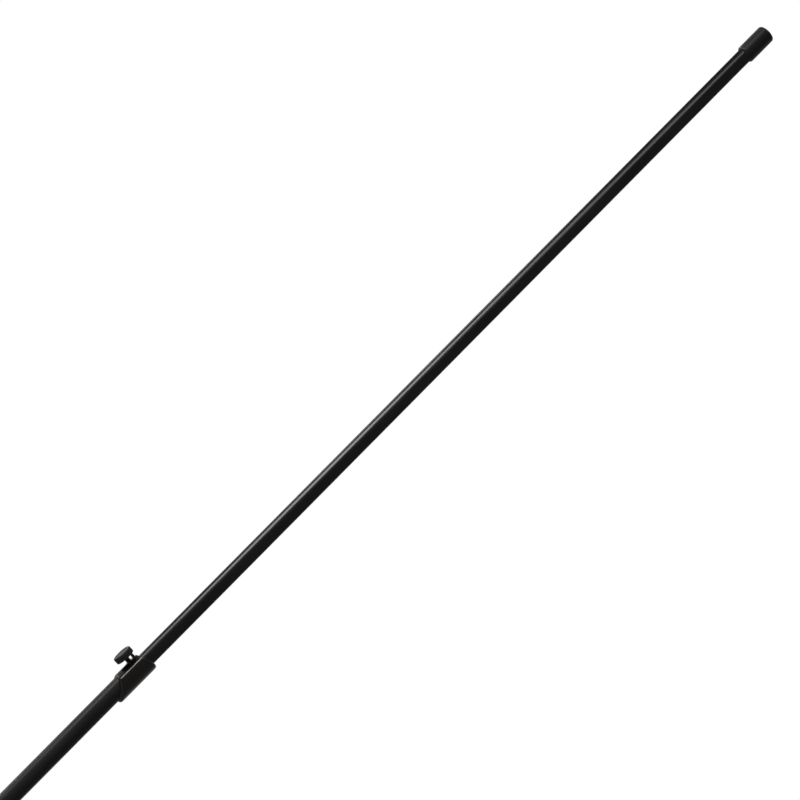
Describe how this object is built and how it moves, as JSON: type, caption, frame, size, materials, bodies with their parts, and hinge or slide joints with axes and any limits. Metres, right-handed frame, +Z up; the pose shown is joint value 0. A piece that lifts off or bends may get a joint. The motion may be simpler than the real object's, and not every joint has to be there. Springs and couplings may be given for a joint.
{
  "type": "bank stick",
  "caption": "Telescopic bank stick: spiked lower tube, moulded clamp collar with a thumb screw, and a sliding upper tube with a threaded head.",
  "frame": {"origin": "tip of the ground spike, on the lower tube's axis", "axes": "+Z up along the stick towards its threaded head, -X out along the thumb screw's axis"},
  "size_m": [0.0358, 0.0254, 2.0378],
  "materials": {
    "tube_black": "satin black anodised",
    "moulding_black": "moulded black, satin",
    "screw_steel": "black zinc plated",
    "spike_steel": "turned",
    "brass": "turned",
    "nylon": "natural nylon"
  },
  "bodies": {
    "lower_section": {"lower_tube": "tube_black", "ground_spike": "spike_steel", "clamp_collar": "moulding_black", "clamp_insert": "brass"},
    "slide_bush": {"tail_bush": "nylon"},
    "upper_section": {"upper_tube": "tube_black", "tail_plug": "moulding_black", "top_head": "moulding_black", "thread_insert": "brass"},
    "pad": {"pressure_pad": "nylon"},
    "thumb_screw": {"clamp_stud": "screw_steel", "knob_head": "moulding_black"}
  },
  "joints": [
    {"name": "section_slide", "type": "slide", "parent": "lower_section", "child": "slide_bush", "axis": [0, 0, 1], "range_m": [-0.9053, 0.0195]},
    {"name": "section_turn", "type": "hinge", "parent": "slide_bush", "child": "upper_section", "pos_m": [0, 0, 1.05], "axis": [0, 0, 1], "continuous": true},
    {"name": "pad_travel", "type": "slide", "parent": "lower_section", "child": "pad", "axis": [-1, 0, 0], "range_m": [0, 0.0011]},
    {"name": "clamp_turn", "type": "hinge", "parent": "pad", "child": "thumb_screw", "pos_m": [-0.0162, 0, 1.08], "axis": [-1, 0, 0], "range_deg": [0, 360]}
  ],
  "couplings": [
    {"joint": "pad_travel", "follows": "clamp_turn", "m_per_rad": 0.00015915}
  ]
}
